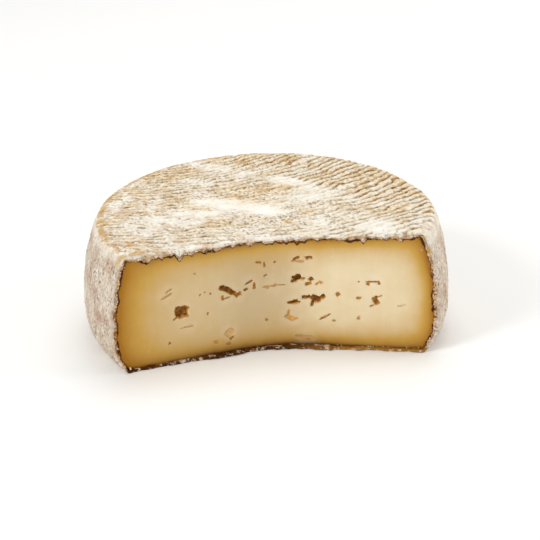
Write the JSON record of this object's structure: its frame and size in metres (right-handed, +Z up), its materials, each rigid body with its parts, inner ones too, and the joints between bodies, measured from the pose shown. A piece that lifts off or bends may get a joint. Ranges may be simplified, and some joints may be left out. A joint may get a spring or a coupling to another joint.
{
  "type": "cut cheese wheel",
  "caption": "Cut wheel of semi-hard cheese: bulging side, sunken top with a cloth-marked mouldy rind, and a gently hollow cut face with torn openings in the paste.",
  "frame": {"origin": "the wheel's own axis on its flat underside", "axes": "+Z up through the wheel's axis, the cut face looks along -Y, and +X runs to the right along the cut"},
  "size_m": [0.19, 0.1495, 0.0632],
  "materials": {
    "cheese": "dry mouldy rind, waxy cut paste"
  },
  "bodies": {
    "root": {"cheese_wheel": "cheese"}
  },
  "joints": []
}
